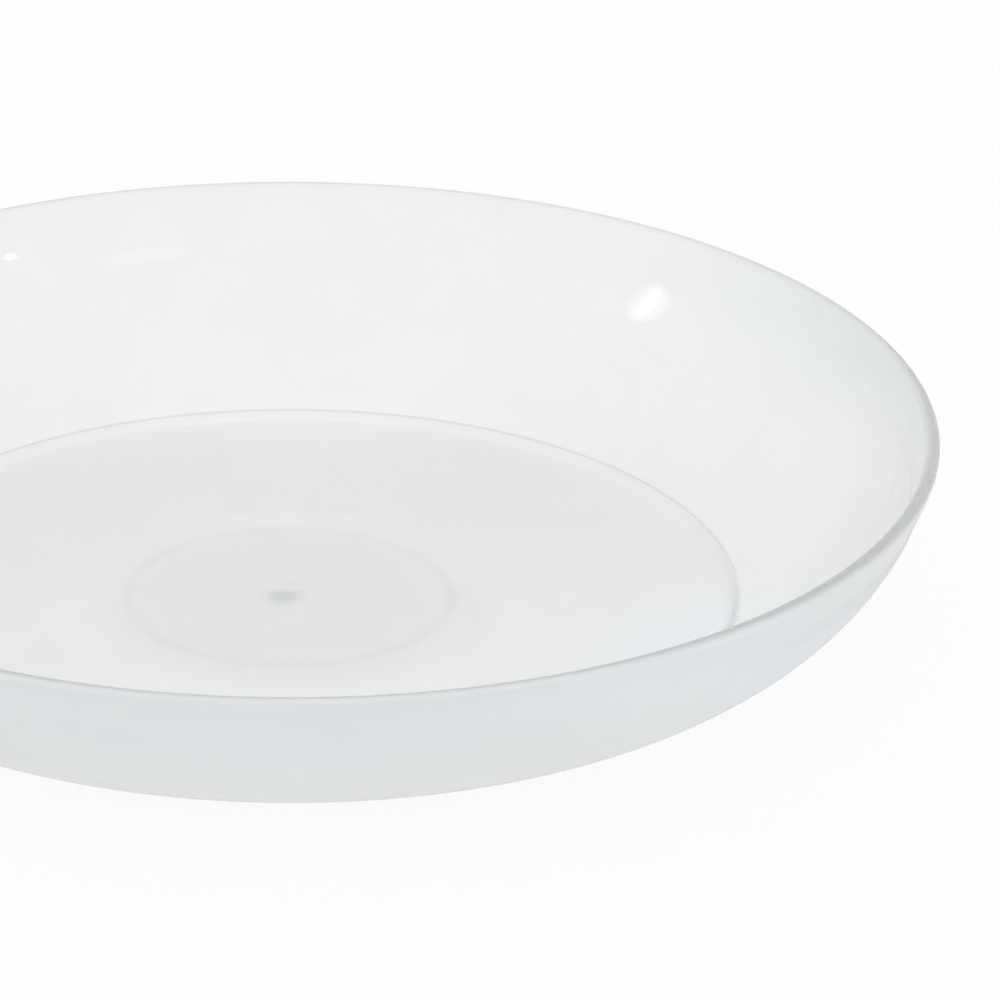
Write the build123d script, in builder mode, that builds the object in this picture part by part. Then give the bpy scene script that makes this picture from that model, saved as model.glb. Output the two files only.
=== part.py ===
"""Clear plastic plant saucer: one injection moulding, a shallow round dish 200 mm across.

The dish is a turned form. Its origin is the centre of the circle that it rests on, with +Z up, in millimetres.
"""
import os
from math import asin, atan2, cos, degrees, radians, sin, sqrt, tan

from build123d import *

# Overall sizes
rim_diameter = 200.0
saucer_height = 30.6
foot_diameter = 136.0

# Wall: a round sweep that leaves the rim at a lean and runs out into a straight cone above the foot
wall_thickness = 1.6
rim_lean = 12.6
wall_sweep_share = 0.96

# Rim: a bead a little thicker than the wall, with a crowned top and eased edges, that tapers into the wall
rim_thickness = 2.2
rim_crown_radius = 1.6
rim_edge_ease = 0.45
rim_taper_run = 1.2

# Floor, with a fine sill where the wall meets it
floor_thickness = 1.6
sill_height = 0.25

# Foot ring, which lifts the floor clear of the shelf
foot_height = 0.5
foot_width = 2.2
foot_outer_ease = 0.45
foot_inner_ease = 0.2

# Gate well: the middle of the floor is set up a little, so the gate's stub stays off the shelf
well_diameter = 51.6
well_rise = 0.35
well_shoulder_width = 2.4
well_brow_round = 6.0

# Gate stub under the floor, and the small dimple above it
gate_stub_diameter = 2.4
gate_stub_height = 0.25
gate_dimple_diameter = 4.0
gate_dimple_depth = 0.4

# Radii and levels that follow from the sizes
rim_radius = rim_diameter / 2
half_rim = rim_thickness / 2
half_wall = wall_thickness / 2
foot_radius = foot_diameter / 2
foot_inner_radius = foot_radius - foot_width
floor_top = foot_height + floor_thickness
sill_top = floor_top + sill_height
well_radius = well_diameter / 2
well_top_radius = well_radius - well_shoulder_width
well_floor_top = floor_top + well_rise
well_underside = foot_height + well_rise

# Directions along the wall at the rim, which leans outwards
lean = radians(rim_lean)
up_wall = Vector(sin(lean), cos(lean))
out_of_wall = Vector(cos(lean), -sin(lean))

# Rim's brow: the middle of the crown's chord, placed so that the bead just reaches the height and the diameter
half_crown = half_rim - rim_edge_ease
crown_depth = sqrt(rim_crown_radius**2 - half_crown**2)
brow = Vector(
    rim_radius - half_rim * cos(lean) + rim_edge_ease * sin(lean),
    saucer_height - rim_crown_radius + crown_depth * cos(lean),
)
edge_level = brow - up_wall * rim_edge_ease
taper_end = edge_level - up_wall * rim_taper_run * half_rim / (half_rim - half_wall)

# Outer sweep: a share of the largest arc that leaves the rim at its lean and still clears the foot's edge
outer_wall_top = brow - up_wall * half_rim + out_of_wall * half_wall
top_to_foot = Vector(foot_radius, 0) - outer_wall_top
largest_sweep_radius = top_to_foot.dot(top_to_foot) / (-2 * top_to_foot.dot(out_of_wall))
outer_sweep_radius = wall_sweep_share * largest_sweep_radius
inner_sweep_radius = outer_sweep_radius - wall_thickness
sweep_centre = outer_wall_top - out_of_wall * outer_sweep_radius

# The cone runs from the foot's outer edge and just touches the outer sweep
foot_to_centre = sweep_centre - Vector(foot_radius, 0)
cone_slope = atan2(foot_to_centre.Y, foot_to_centre.X) - asin(outer_sweep_radius / foot_to_centre.length)
sweep_start_angle = degrees(cone_slope) - 90
sweep_arc_angle = 90 - degrees(cone_slope) - rim_lean

# The dimple is a shallow cap of a ball that stands on the well's floor
dimple_radius = gate_dimple_diameter / 2
dimple_ball_radius = (dimple_radius**2 + gate_dimple_depth**2) / (2 * gate_dimple_depth)
dimple_centre = (0, well_floor_top + dimple_ball_radius - gate_dimple_depth)

with BuildPart() as saucer:
    with BuildSketch(Plane.XZ) as section:
        # Wall, floor and foot as one outline, from the foot's outer edge round to the axis and back
        with BuildLine():
            outer_wall = CenterArc(sweep_centre, outer_sweep_radius, sweep_start_angle, sweep_arc_angle)
            inner_wall = CenterArc(sweep_centre, inner_sweep_radius, sweep_start_angle, sweep_arc_angle)
            cone_top = inner_wall @ 0
            sill_radius = cone_top.X - (cone_top.Y - sill_top) / tan(cone_slope)
            Line((foot_radius, 0), outer_wall @ 0)
            Line(outer_wall @ 1, inner_wall @ 1)
            Polyline(
                cone_top,
                (sill_radius, sill_top),
                (sill_radius - sill_height, floor_top),
                (well_radius, floor_top),
                (well_top_radius, well_floor_top),
                (0, well_floor_top),
                (0, well_underside),
                (well_top_radius, well_underside),
                (well_radius, foot_height),
                (foot_inner_radius, foot_height),
                (foot_inner_radius, 0),
                (foot_radius, 0),
            )
        make_face()

        # Rim bead over the top of the wall: a shallow crown, two eased edges and a taper into both faces
        with BuildLine():
            crown_ends = (brow + out_of_wall * half_crown, brow - out_of_wall * half_crown)
            RadiusArc(*crown_ends, -rim_crown_radius)
            Polyline(
                crown_ends[0],
                edge_level + out_of_wall * half_rim,
                taper_end,
                edge_level - out_of_wall * half_rim,
                crown_ends[1],
            )
        make_face()

        # Soft brow on the well's shoulder, which is what shows of it, and eased edges on the foot
        fillet(section.vertices().sort_by_distance((well_top_radius, well_floor_top))[0], well_brow_round)
        chamfer(section.vertices().sort_by_distance((foot_radius, 0))[0], foot_outer_ease)
        chamfer(section.vertices().sort_by_distance((foot_inner_radius, 0))[0], foot_inner_ease)

        # Gate dimple above the floor's middle, and the gate's stub below it
        with Locations(dimple_centre):
            Circle(dimple_ball_radius, mode=Mode.SUBTRACT)
        with Locations((0, well_underside)):
            Rectangle(gate_stub_diameter / 2, gate_stub_height, align=(Align.MIN, Align.MAX))
    revolve(axis=Axis.Z)
saucer.part.label = "saucer"

os.makedirs("parts", exist_ok=True)
export_step(saucer.part, "parts/saucer.step")
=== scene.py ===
from math import asin, atan2, cos, pi, radians, sin, tan

import bmesh
import bpy
from mathutils import Matrix, Quaternion, Vector


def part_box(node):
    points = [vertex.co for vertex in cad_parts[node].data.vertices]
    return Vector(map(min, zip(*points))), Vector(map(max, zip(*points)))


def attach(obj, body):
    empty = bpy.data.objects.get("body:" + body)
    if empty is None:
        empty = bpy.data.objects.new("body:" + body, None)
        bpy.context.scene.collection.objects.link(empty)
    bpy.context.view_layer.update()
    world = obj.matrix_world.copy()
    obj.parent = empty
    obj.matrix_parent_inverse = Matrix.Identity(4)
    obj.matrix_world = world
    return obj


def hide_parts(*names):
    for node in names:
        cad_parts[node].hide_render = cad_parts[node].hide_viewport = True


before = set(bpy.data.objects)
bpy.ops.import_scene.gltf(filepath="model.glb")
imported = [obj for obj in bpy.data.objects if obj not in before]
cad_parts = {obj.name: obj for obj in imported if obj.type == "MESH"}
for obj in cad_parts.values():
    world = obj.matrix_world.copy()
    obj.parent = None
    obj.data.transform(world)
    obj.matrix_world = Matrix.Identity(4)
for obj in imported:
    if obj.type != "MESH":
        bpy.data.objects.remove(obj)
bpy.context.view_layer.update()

# Saucer: a shallow dish in clear polypropylene, injection moulded in one shot from a gate under its middle.
# The wall is an even 1.6 mm sweep with a thicker full-round lip, on a flat floor that stands on a foot ring.
# The floor's middle is set up a little round the gate, which leaves a dimple above and a stub below.
saucer_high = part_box("saucer")[1]
rim_radius = saucer_high.x
rim_height = saucer_high.z
wall_thickness = 0.0016
wall_sweep = 0.0356
wall_lean = radians(12.6)
lip_round = 0.0011
lip_band = 0.0004
inner_taper = 0.0050
outer_taper = 0.0080
lip_taper_round = 0.0003
floor_thickness = 0.0016
sill_height = 0.00025
sill_round = 0.00008

# Slopes under the floor are gentle, because a steep one reflects totally and shows from above as a dark band
foot_radius = 0.068
foot_width = 0.0022
foot_height = 0.0005
foot_ramp = 0.0360
foot_round = 0.0009
well_radius = 0.0258
well_rise = 0.00035
well_shoulder = 0.0140
well_shoulder_round = 0.0030
dimple_radius = 0.0020
dimple_depth = 0.00005
dimple_round = 0.0008
stub_radius = 0.0012
stub_height = 0.00003
stub_round = 0.00001

# How far the painted shade of the line round the floor fades into the floor, and how close beside it the fade
# starts
line_fade = 0.0035
line_guard = 0.00015

# How finely the mesh follows the curves
turning_steps = 360
sweep_steps = 40
lip_steps = 16
dimple_steps = 6
round_steps = 4
merge_distance = 0.000001

half_wall = wall_thickness / 2
inner_sweep = wall_sweep - half_wall
outer_sweep = wall_sweep + half_wall
floor_top = foot_height + floor_thickness
sill_top = floor_top + sill_height
well_top = floor_top + well_rise
well_underside = foot_height + well_rise
dimple_bottom = well_top - dimple_depth
dimple_ball = (dimple_radius**2 + dimple_depth**2) / (2 * dimple_depth)
dimple_turn = asin(dimple_radius / dimple_ball)
stub_bottom = well_underside - stub_height
lip_centre = Vector((rim_radius - lip_round, rim_height - lip_round))
out_of_wall = Vector((cos(wall_lean), -sin(wall_lean)))
up_wall = Vector((sin(wall_lean), cos(wall_lean)))
sweep_centre = lip_centre - out_of_wall * wall_sweep

# The cone runs from the foot's outer edge and just touches the outer sweep
foot_to_centre = sweep_centre - Vector((foot_radius, 0))
cone_slope = atan2(foot_to_centre.y, foot_to_centre.x) - asin(outer_sweep / foot_to_centre.length)
up_cone = Vector((cos(cone_slope), sin(cone_slope)))
out_of_cone = Vector((sin(cone_slope), -cos(cone_slope)))
whole_turn = pi / 2 - cone_slope - wall_lean
inner_lip_turn = (lip_band + inner_taper) / wall_sweep
outer_lip_turn = (lip_band + outer_taper) / wall_sweep
inner_wall_foot = sweep_centre + out_of_cone * inner_sweep
outer_wall_top = sweep_centre + Matrix.Rotation(-wall_lean - outer_lip_turn, 2) @ Vector((outer_sweep, 0))
sill_radius = inner_wall_foot.x - (inner_wall_foot.y - sill_top) / tan(cone_slope)
sill_foot_radius = sill_radius - sill_height

# Each point keeps how matt its mould face was, and how much painted shade of the floor's edge line it takes
saucer = bmesh.new()
etched = saucer.verts.layers.float.new("etched")
painted_line_shade = saucer.verts.layers.float.new("painted_line_shade")
polished_core, dulled_core, etched_cavity = 0.0, 0.5, 1.0
plain, deep, dense = 0.0, 0.5, 1.0


def start_at(place, mould_face, depth=plain):
    """Starts the section at a radius and height, on the mould face that shapes it."""
    point = saucer.verts.new((place[0], 0, place[1]))
    point[etched] = mould_face
    point[painted_line_shade] = depth
    return point


def line_to(start, place, mould_face, depth=plain):
    """Runs the section straight on to a radius and height."""
    end = start_at(place, mould_face, depth)
    saucer.edges.new((start, end))
    return end


def arc_round(start, centre, turn, steps):
    """Runs the section on round a centre, anticlockwise when the turn is positive."""
    arc = bmesh.ops.spin(
        saucer, geom=[start], cent=(centre[0], 0, centre[1]), axis=(0, -1, 0), angle=turn, steps=steps)
    return next(piece for piece in arc["geom_last"] if isinstance(piece, bmesh.types.BMVert))


# The section, from the dimple out over the floor and up the inner wall
dimple_middle = start_at((0, dimple_bottom), dulled_core)
dimple_edge = arc_round(dimple_middle, (0, dimple_bottom + dimple_ball), dimple_turn, dimple_steps)
well_brow = line_to(dimple_edge, (well_radius - well_shoulder, well_top), dulled_core)
well_edge = line_to(well_brow, (well_radius, floor_top), dulled_core)
# Painted shade: the floor darkens towards the sill's step, into a dark line along it
line_start = line_to(well_edge, (sill_foot_radius - line_fade, floor_top), dulled_core)
before_sill = line_to(line_start, (sill_foot_radius - line_guard, floor_top), dulled_core, deep)
sill_foot = line_to(before_sill, (sill_foot_radius, floor_top), polished_core, dense)
sill_brow = line_to(sill_foot, (sill_radius, sill_top), polished_core, dense)
after_sill = line_to(sill_brow, Vector((sill_radius, sill_top)) + up_cone * line_guard, polished_core)
inner_foot = line_to(after_sill, inner_wall_foot, polished_core)
inner_top = arc_round(inner_foot, sweep_centre, whole_turn - inner_lip_turn, sweep_steps)

# The lip, which thickens out of the wall over a long taper on both sides
inner_band = line_to(inner_top, lip_centre - out_of_wall * lip_round - up_wall * lip_band, dulled_core)
lip_start = line_to(inner_band, lip_centre - out_of_wall * lip_round, etched_cavity)
lip_end = arc_round(lip_start, lip_centre, -pi, lip_steps)
outer_band = line_to(lip_end, lip_centre + out_of_wall * lip_round - up_wall * lip_band, etched_cavity)

# The outer wall down to the foot ring, and the underside back to the middle
outer_top = line_to(outer_band, outer_wall_top, etched_cavity)
outer_foot = arc_round(outer_top, sweep_centre, outer_lip_turn - whole_turn, sweep_steps)
foot_edge = line_to(outer_foot, (foot_radius, 0), etched_cavity)
foot_inside = line_to(foot_edge, (foot_radius - foot_width, 0), etched_cavity)
foot_root = line_to(foot_inside, (foot_radius - foot_width - foot_ramp, foot_height), etched_cavity)
underwell_edge = line_to(foot_root, (well_radius, foot_height), etched_cavity)
underwell_brow = line_to(underwell_edge, (well_radius - well_shoulder, well_underside), etched_cavity)
stub_root = line_to(underwell_brow, (stub_radius, well_underside), etched_cavity)
stub_edge = line_to(stub_root, (stub_radius / 2, stub_bottom), etched_cavity)
line_to(stub_edge, (0, stub_bottom), etched_cavity)

# Every moulded corner is rounded before the section is turned
rounded_corners = (
    (dimple_round, [dimple_edge]),
    (well_shoulder_round, [well_brow, well_edge, underwell_brow, underwell_edge]),
    (sill_round, [sill_foot, sill_brow]),
    (lip_taper_round, [inner_top, inner_band, outer_band, outer_top]),
    (foot_round, [foot_edge, foot_inside, foot_root]),
    (stub_round, [stub_root, stub_edge]),
)
for reach, corners in rounded_corners:
    bmesh.ops.bevel(
        saucer, geom=corners, offset=reach, offset_type="OFFSET", segments=round_steps, profile=0.5,
        affect="VERTICES", material=-1)

# The section is turned through a quarter, and mirrored into the other three
bmesh.ops.spin(
    saucer, geom=saucer.verts[:] + saucer.edges[:], cent=(0, 0, 0), axis=(0, 0, 1), angle=pi / 2,
    steps=turning_steps // 4)
for side_axis in ("X", "Y"):
    bmesh.ops.mirror(
        saucer, geom=saucer.verts[:] + saucer.edges[:] + saucer.faces[:], matrix=Matrix.Identity(4),
        merge_dist=merge_distance, axis=side_axis)
bmesh.ops.remove_doubles(saucer, verts=saucer.verts, dist=merge_distance)
bmesh.ops.recalc_face_normals(saucer, faces=saucer.faces)
for face in saucer.faces:
    face.smooth = True
saucer_mesh = bpy.data.meshes.new("moulded_saucer")
saucer.to_mesh(saucer_mesh)
saucer.free()
moulded_saucer = bpy.data.objects.new("moulded_saucer", saucer_mesh)
bpy.context.scene.collection.objects.link(moulded_saucer)
even_shading = moulded_saucer.modifiers.new("even_shading", "WEIGHTED_NORMAL")
even_shading.mode = "FACE_AREA"
even_shading.weight = 100


def linear(hex_colour):
    """Turns an sRGB hex colour into the linear values that a shader takes."""
    parts = [int(hex_colour[start:start + 2], 16) / 255 for start in (0, 2, 4)]
    return [part / 12.92 if part <= 0.04045 else ((part + 0.055) / 1.055) ** 2.4 for part in parts] + [1]


def add_node(tree, kind, settings=(), **links):
    """Adds a node with its settings, and links or sets its inputs by name, or by number as in i6."""
    node = tree.nodes.new(kind)
    for name, value in dict(settings).items():
        setattr(node, name, value)
    for name, value in links.items():
        socket = node.inputs[int(name[1:])] if name[1:].isdigit() else node.inputs[name.replace("_", " ")]
        if isinstance(value, bpy.types.NodeSocket):
            tree.links.new(value, socket)
        else:
            socket.default_value = value
    return node


# Clear polypropylene, moulded: glossy inside, where the core is polished, so lamps show there as sharp marks.
# Outside and on the lip the cavity is etched, and that satin face blurs what shows through the wall.
# The plastic is nearly colourless, with a faint cool tint. The fine line round the floor, at the sill's step,
# is painted darker as painted shade.
polished_roughness, satin_roughness = 0.06, 0.28
body_tint, line_shade_tint = linear("FBFEFE"), linear("E9EDED")
clear_plastic = bpy.data.materials.new("clear_polypropylene")
clear_plastic.use_nodes = True
tree = clear_plastic.node_tree
tree.nodes.clear()
etched_share = add_node(tree, "ShaderNodeAttribute", {"attribute_name": "etched"})
satin = add_node(
    tree, "ShaderNodeMapRange", Value=etched_share.outputs["Fac"], To_Min=polished_roughness,
    To_Max=satin_roughness)
line_shade_share = add_node(tree, "ShaderNodeAttribute", {"attribute_name": "painted_line_shade"})
tint_and_line_shade = add_node(
    tree, "ShaderNodeMix", {"data_type": "RGBA"}, i0=line_shade_share.outputs["Fac"], i6=body_tint, i7=line_shade_tint)

# Flow clouds: the melt leaves faint darker streaks in the floor and wall, about 18 mm wide
cloud_width = 0.0182
cloud_start, cloud_full = 0.42, 0.68
cloud_tint = linear("FDFDFD")
on_saucer = add_node(tree, "ShaderNodeTexCoord").outputs["Object"]
clouds = add_node(
    tree, "ShaderNodeTexNoise", Vector=on_saucer, Scale=1 / cloud_width, Detail=3.0, Roughness=0.6,
    Distortion=1.2)
cloud_share = add_node(
    tree, "ShaderNodeMapRange", {"interpolation_type": "SMOOTHSTEP"}, Value=clouds.outputs["Fac"],
    From_Min=cloud_start, From_Max=cloud_full)
clouded = add_node(
    tree, "ShaderNodeMix", {"data_type": "RGBA", "blend_type": "MULTIPLY"}, i0=cloud_share.outputs["Result"],
    i6=tint_and_line_shade.outputs[2], i7=cloud_tint)

# Painted shade ring: a faint uneven darker line, 3 mm wide, round the edge of the raised well in the floor's
# middle
ring_middle, ring_radius = (-0.0004, -0.0022, 0.0015), 0.0252
ring_core, ring_edge = 0.0002, 0.0015
waver_length, waver_height = 0.0111, 0.0016
ring_shade_tint = linear("F4F6F6")
waver = add_node(tree, "ShaderNodeTexNoise", Vector=on_saucer, Scale=1 / waver_length, Detail=2.0)
off_middle = add_node(
    tree, "ShaderNodeVectorMath", {"operation": "DISTANCE"}, i0=on_saucer, i1=ring_middle)
wavering = add_node(
    tree, "ShaderNodeMath", {"operation": "MULTIPLY_ADD"}, i0=waver.outputs["Fac"], i1=waver_height,
    i2=off_middle.outputs["Value"])
off_ring = add_node(
    tree, "ShaderNodeMath", {"operation": "SUBTRACT"}, i0=wavering.outputs[0],
    i1=ring_radius + waver_height / 2)
beside_ring = add_node(tree, "ShaderNodeMath", {"operation": "ABSOLUTE"}, i0=off_ring.outputs[0])
ring_share = add_node(
    tree, "ShaderNodeMapRange", {"interpolation_type": "SMOOTHSTEP"}, Value=beside_ring.outputs[0],
    From_Min=ring_core, From_Max=ring_edge, To_Min=1.0, To_Max=0.0)
ring_strength = add_node(
    tree, "ShaderNodeMath", {"operation": "MULTIPLY"}, i0=ring_share.outputs["Result"],
    i1=clouds.outputs["Fac"])
ring_shaded = add_node(
    tree, "ShaderNodeMix", {"data_type": "RGBA", "blend_type": "MULTIPLY"}, i0=ring_strength.outputs[0],
    i6=clouded.outputs[2], i7=ring_shade_tint)

# Painted shade round the gate: a darker ragged smear 8 to 10 mm across, the shade of the gate's dimple and
# stub and the shadow that trails from them
gate_shade_middle, gate_shade_stretch = (-0.0009, -0.0028, 0.0012), (0.85, 1.0, 1.0)
gate_shade_core, gate_shade_edge = 0.0014, 0.0054
smear_length, smear_height = 0.00238, 0.0026
gate_shade_tint = linear("DBDFE3")
smear = add_node(tree, "ShaderNodeTexNoise", Vector=on_saucer, Scale=1 / smear_length, Detail=2.0)
drawn_out = add_node(
    tree, "ShaderNodeVectorMath", {"operation": "MULTIPLY"}, i0=on_saucer, i1=gate_shade_stretch)
off_gate = add_node(
    tree, "ShaderNodeVectorMath", {"operation": "DISTANCE"}, i0=drawn_out.outputs["Vector"], i1=gate_shade_middle)
ragged = add_node(
    tree, "ShaderNodeMath", {"operation": "MULTIPLY_ADD"}, i0=smear.outputs["Fac"], i1=smear_height,
    i2=off_gate.outputs["Value"])
gate_shade = add_node(
    tree, "ShaderNodeMapRange", {"interpolation_type": "SMOOTHSTEP"}, Value=ragged.outputs[0],
    From_Min=gate_shade_core, From_Max=gate_shade_edge, To_Min=1.0, To_Max=0.0)
colour = add_node(
    tree, "ShaderNodeMix", {"data_type": "RGBA", "blend_type": "MULTIPLY"}, i0=gate_shade.outputs["Result"],
    i6=ring_shaded.outputs[2], i7=gate_shade_tint)
shell = add_node(
    tree, "ShaderNodeBsdfPrincipled", Base_Color=colour.outputs[2], Roughness=satin.outputs["Result"],
    IOR=1.49, Transmission_Weight=1.0)
add_node(tree, "ShaderNodeOutputMaterial", Surface=shell.outputs["BSDF"])
saucer_mesh.materials.append(clear_plastic)
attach(moulded_saucer, "root")
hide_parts("saucer")

# Table: a plain top in white laminate that the saucer stands on. To the eye it is white, with a soft shadow.
# Through the plastic it has the light grey of a lit room, bluer through two layers than through one.
# It has a painted shadow under the saucer and painted patches of shade and light, and is painted white where
# the light has run far inside the plastic, as in the rim, which it lightens.
table_half = 15.0
foot_clearance = 0.00005
table_paint = bpy.data.materials.new("white_laminate")
table_paint.use_nodes = True
tree = table_paint.node_tree
tree.nodes.clear()

# Painted shadow under the saucer's middle, where each tone lies at its share of the reach
shade_centre, shade_reach = (0, -0.005, 0), 0.20
shade_tones = ((0.11, "F7F7F7"), (0.165, "FFFFFF"), (0.24, "FEFEFE"), (0.325, "FFFFFF"))
on_table = add_node(tree, "ShaderNodeTexCoord").outputs["Object"]
off_centre = add_node(
    tree, "ShaderNodeVectorMath", {"operation": "DISTANCE"}, i0=on_table, i1=shade_centre)
outwards = add_node(
    tree, "ShaderNodeMath", {"operation": "DIVIDE"}, i0=off_centre.outputs["Value"], i1=shade_reach)
shade = add_node(tree, "ShaderNodeValToRGB", Fac=outwards.outputs[0])
shade.color_ramp.elements.remove(shade.color_ramp.elements[1])
shade.color_ramp.elements[0].color = linear(shade_tones[0][1])
for share, hex_tone in shade_tones:
    shade.color_ramp.elements.new(share).color = linear(hex_tone)

# The room's tone through one layer of plastic, which has two faces, and through two layers
layer_faces = 2
one_layer_tone, two_layer_tone = linear("F6F4F4"), linear("E6E9EB")
ray = add_node(tree, "ShaderNodeLightPath")
layers = add_node(
    tree, "ShaderNodeMapRange", Value=ray.outputs["Transmission Depth"], From_Min=layer_faces,
    From_Max=2 * layer_faces)
layered = add_node(
    tree, "ShaderNodeMix", {"data_type": "RGBA"}, i0=layers.outputs["Result"], i6=one_layer_tone,
    i7=two_layer_tone)
shaded_tone = add_node(
    tree, "ShaderNodeMix", {"data_type": "RGBA", "blend_type": "MULTIPLY"}, i0=1.0,
    i6=shade.outputs["Color"], i7=layered.outputs[2])

# Painted patches, by centre, reach and tone: a cooler one of painted shade behind on the right, and two
# lighter ones of painted light
painted_patches = (
    ((0.135, 0.125, 0), 0.085, "E1E8EA"),
    ((0.076, -0.033, 0), 0.056, "F7FBFF"),
    ((0, 0.068, 0), 0.055, "FBF9F9"),
)
painted_tone = shaded_tone.outputs[2]
for patch_centre, patch_reach, patch_tone in painted_patches:
    off_patch = add_node(
        tree, "ShaderNodeVectorMath", {"operation": "DISTANCE"}, i0=on_table, i1=patch_centre)
    patch_share = add_node(
        tree, "ShaderNodeMapRange", {"interpolation_type": "SMOOTHSTEP"}, Value=off_patch.outputs["Value"],
        From_Max=patch_reach, To_Min=1.0, To_Max=0.0)
    patched = add_node(
        tree, "ShaderNodeMix", {"data_type": "RGBA"}, i0=patch_share.outputs["Result"], i6=painted_tone,
        i7=linear(patch_tone))
    painted_tone = patched.outputs[2]

# Painted light: light that has met more than the four faces of two layers has run far inside the plastic, and
# sees white here, which lightens the rim
far_start, far_end = 4, 6
white_tone = linear("FFFFFF")
run_far = add_node(
    tree, "ShaderNodeMapRange", Value=ray.outputs["Ray Depth"], From_Min=far_start, From_Max=far_end)
lightened = add_node(
    tree, "ShaderNodeMix", {"data_type": "RGBA"}, i0=run_far.outputs["Result"], i6=painted_tone, i7=white_tone)
through_plastic = add_node(tree, "ShaderNodeEmission", Color=lightened.outputs[2])

# To the eye most of the white is even, and the rest takes the saucer's shadow
even_white, shadowed_tone = 0.90, linear("595959")
shadowed = add_node(tree, "ShaderNodeBsdfDiffuse", Color=shadowed_tone)
even = add_node(tree, "ShaderNodeEmission", Strength=even_white)
direct = add_node(tree, "ShaderNodeAddShader", i0=shadowed.outputs[0], i1=even.outputs[0])
laminate = add_node(
    tree, "ShaderNodeMixShader", i0=ray.outputs["Is Camera Ray"], i1=through_plastic.outputs[0],
    i2=direct.outputs[0])
add_node(tree, "ShaderNodeOutputMaterial", Surface=laminate.outputs[0])
table = bmesh.new()
bmesh.ops.create_grid(table, x_segments=1, y_segments=1, size=table_half)
bmesh.ops.translate(table, verts=table.verts, vec=(0, 0, -foot_clearance))
table_mesh = bpy.data.meshes.new("table_top")
table.to_mesh(table_mesh)
table.free()
table_mesh.materials.append(table_paint)
table_top = bpy.data.objects.new("table_top", table_mesh)
bpy.context.scene.collection.objects.link(table_top)

# Surround: an even white room, lit all round, which gives the saucer its plain soft light.
# It is white to the eye and a warm light grey in the plastic, and is painted white where light has run far,
# which lightens the rim.
surround_grey = linear("F4F1F1")
world = bpy.data.worlds.new("studio")
bpy.context.scene.world = world
world.use_nodes = True
tree = world.node_tree
tree.nodes.clear()
ray = add_node(tree, "ShaderNodeLightPath")
run_far = add_node(
    tree, "ShaderNodeMapRange", Value=ray.outputs["Ray Depth"], From_Min=far_start, From_Max=far_end)
white_share = add_node(
    tree, "ShaderNodeMath", {"operation": "MAXIMUM"}, i0=ray.outputs["Is Camera Ray"],
    i1=run_far.outputs["Result"])
surround_tone = add_node(
    tree, "ShaderNodeMix", {"data_type": "RGBA"}, i0=white_share.outputs[0], i6=surround_grey, i7=white_tone)
surround = add_node(tree, "ShaderNodeBackground", Color=surround_tone.outputs[2])
add_node(tree, "ShaderNodeOutputWorld", Surface=surround.outputs[0])

# Lamps: small soft lamps almost a metre off, whose reflections are the bright marks high on the inner wall.
# Each has its name, its place, the way that its length runs, its width and length, and its brightness.
lamps = (
    ("left_strip", (-0.799, -0.142, 0.487), (-0.103, -0.082, -0.221), 0.028, 0.250, 6.0),
    ("left_halo", (-0.799, -0.142, 0.487), (-0.103, -0.082, -0.221), 0.115, 0.340, 1.3),
    ("right_spot", (0.721, -0.452, 0.376), (0, 0, 1), 0.035, 0.050, 6.0),
    ("front_card", (0.381, -0.635, 0.575), (0, 0, 1), 0.25, 0.12, 0.6),
)
for lamp_name, stand, lengthways, width, length, brightness in lamps:
    lamp_data = bpy.data.lights.new(lamp_name, "AREA")
    lamp_data.shape = "ELLIPSE"
    lamp_data.size = width
    lamp_data.size_y = length
    lamp_data.energy = brightness * pi * width * length
    lamp = bpy.data.objects.new(lamp_name, lamp_data)
    bpy.context.scene.collection.objects.link(lamp)
    facing = Vector(stand).normalized()
    across = Vector(lengthways).cross(facing).normalized()
    along = facing.cross(across)
    lamp.matrix_world = Matrix.Translation(stand) @ Matrix((across, along, facing)).transposed().to_4x4()
    lamp.visible_camera = False

# Camera: a long lens at the front, 1.26 m from the saucer's middle, which looks down at about 24 degrees.
# It is turned to the right, so the saucer's left edge lies outside the picture, as in the photograph.
camera_data = bpy.data.cameras.new("camera")
camera_data.sensor_width = 36
camera_data.lens = 291.5
camera = bpy.data.objects.new("camera", camera_data)
bpy.context.scene.collection.objects.link(camera)
camera.location = (0, -1.14557, 0.53074)
tilt, pan, roll = radians(24.1302), radians(1.616), radians(0.7303)
forward = Vector((sin(pan) * cos(tilt), cos(pan) * cos(tilt), -sin(tilt)))
camera.rotation_mode = "QUATERNION"
camera.rotation_quaternion = forward.to_track_quat("-Z", "Y") @ Quaternion((0, 0, 1), roll)
bpy.context.scene.camera = camera
bpy.context.scene.view_settings.view_transform = "Standard"

# A clear wall passes light many times between its faces, so the light paths are long
longest_path = 64
bpy.context.scene.cycles.max_bounces = longest_path
bpy.context.scene.cycles.transmission_bounces = longest_path
bpy.context.scene.cycles.glossy_bounces = longest_path
